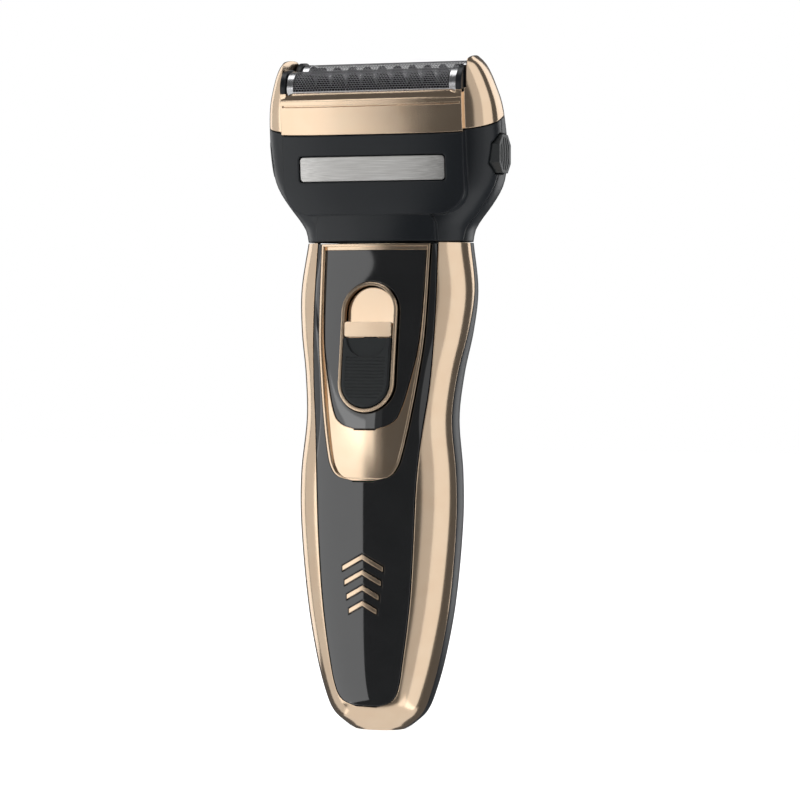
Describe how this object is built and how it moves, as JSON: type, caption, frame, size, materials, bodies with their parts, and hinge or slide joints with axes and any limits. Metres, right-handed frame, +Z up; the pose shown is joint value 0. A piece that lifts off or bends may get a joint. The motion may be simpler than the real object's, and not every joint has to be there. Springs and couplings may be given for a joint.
{
  "type": "foil shaver",
  "caption": "Cordless foil shaver with a gold and black S-curved handle, sliding switch, wide leaning head and arched twin foils.",
  "frame": {"origin": "under the middle of the bounding box, on the surface that the foot stands on", "axes": "+Z up along the handle, +X to the right of the front, front towards -Y"},
  "size_m": [0.0604, 0.0328, 0.162],
  "materials": {
    "gold": "metallised rose gold, polished",
    "gloss_black": "polished black",
    "matt_black": "fine matt",
    "grip_black": "ribbed matt",
    "label": "brushed",
    "foil_steel": "thin perforated sheet",
    "steel": "plain",
    "brass": "plain",
    "board_green": "coated board",
    "cell_blue": "shrink sleeve",
    "inner_grey": "plain moulded"
  },
  "bodies": {
    "handle": {"rear_shell": "matt_black", "side_band": "gold", "case_screw_1": "steel", "case_screw_2": "steel", "case_screw_3": "steel", "case_screw_4": "steel", "chevron_1": "gold", "chevron_2": "gold", "chevron_3": "gold", "chevron_4": "gold", "front_panel": "gloss_black", "switch_bezel": "gold", "switch_plate": "gloss_black", "switch_rim": "gold", "switch_bed": "gold", "slide_switch": "inner_grey", "circuit_board": "board_green", "inner_frame": "inner_grey", "battery_cell": "cell_blue", "contact_lower": "brass", "contact_upper": "brass", "motor_can": "steel", "motor_mount": "inner_grey", "neck_collar": "matt_black", "charge_inlet": "grip_black", "inlet_pin_left": "brass", "inlet_pin_right": "brass"},
    "switch_slider": {"slider_cap": "gold", "slider_grip": "grip_black"},
    "motor_rotor": {"motor_shaft": "steel", "eccentric_cam": "inner_grey"},
    "shaver_head": {"head_front_cover": "matt_black", "head_rear_cover": "matt_black", "label_plate": "label", "head_base": "inner_grey", "button_spring_left": "steel", "button_spring_right": "steel"},
    "left_button": {"release_button_left": "grip_black"},
    "right_button": {"release_button_right": "grip_black"},
    "foil_carrier": {"foil_frame": "gold", "foil_cassette": "matt_black"},
    "bridge": {"drive_bridge": "inner_grey", "front_cutter_spring": "steel", "rear_cutter_spring": "steel"},
    "front_foil_float": {"front_foil": "foil_steel"},
    "rear_foil_float": {"rear_foil": "foil_steel"},
    "front_cutter_float": {"front_cutter": "foil_steel"},
    "rear_cutter_float": {"rear_cutter": "foil_steel"}
  },
  "joints": [
    {"name": "switch_slide", "type": "slide", "parent": "handle", "child": "switch_slider", "axis": [0, 0.1478, 0.989], "range_m": [0, 0.0046]},
    {"name": "rotor_spin", "type": "hinge", "parent": "handle", "child": "motor_rotor", "pos_m": [0, 0.0034, 0.12], "axis": [0, 0, 1], "continuous": true},
    {"name": "head_lift", "type": "slide", "parent": "handle", "child": "shaver_head", "axis": [0, 0, 1], "range_m": [0, 0.03]},
    {"name": "left_button_press", "type": "slide", "parent": "shaver_head", "child": "left_button", "axis": [1, 0, 0], "range_m": [0, 0.0014], "stiffness_N_per_m": 400, "springref_m": -0.001},
    {"name": "right_button_press", "type": "slide", "parent": "shaver_head", "child": "right_button", "axis": [-1, 0, 0], "range_m": [0, 0.0014], "stiffness_N_per_m": 400, "springref_m": -0.001},
    {"name": "frame_lift", "type": "slide", "parent": "shaver_head", "child": "foil_carrier", "axis": [0, -0.2419, 0.9703], "range_m": [0, 0.02]},
    {"name": "bridge_shuttle", "type": "slide", "parent": "shaver_head", "child": "bridge", "axis": [1, 0, 0], "range_m": [-0.0008, 0.0008], "stiffness_N_per_m": 300},
    {"name": "front_foil_press", "type": "slide", "parent": "foil_carrier", "child": "front_foil_float", "axis": [0, 0.2419, -0.9703], "range_m": [0, 0.001], "stiffness_N_per_m": 600, "springref_m": -0.001},
    {"name": "rear_foil_press", "type": "slide", "parent": "foil_carrier", "child": "rear_foil_float", "axis": [0, 0.2419, -0.9703], "range_m": [0, 0.001], "stiffness_N_per_m": 600, "springref_m": -0.001},
    {"name": "front_cutter_press", "type": "slide", "parent": "bridge", "child": "front_cutter_float", "axis": [0, 0.2419, -0.9703], "range_m": [0, 0.001], "stiffness_N_per_m": 300, "springref_m": -0.001, "deforming": ["front_cutter_spring"]},
    {"name": "rear_cutter_press", "type": "slide", "parent": "bridge", "child": "rear_cutter_float", "axis": [0, 0.2419, -0.9703], "range_m": [0, 0.001], "stiffness_N_per_m": 300, "springref_m": -0.001, "deforming": ["rear_cutter_spring"]}
  ],
  "couplings": [
    {"joint": "front_cutter_press", "follows": "front_foil_press", "ratio": 1},
    {"joint": "rear_cutter_press", "follows": "rear_foil_press", "ratio": 1}
  ]
}
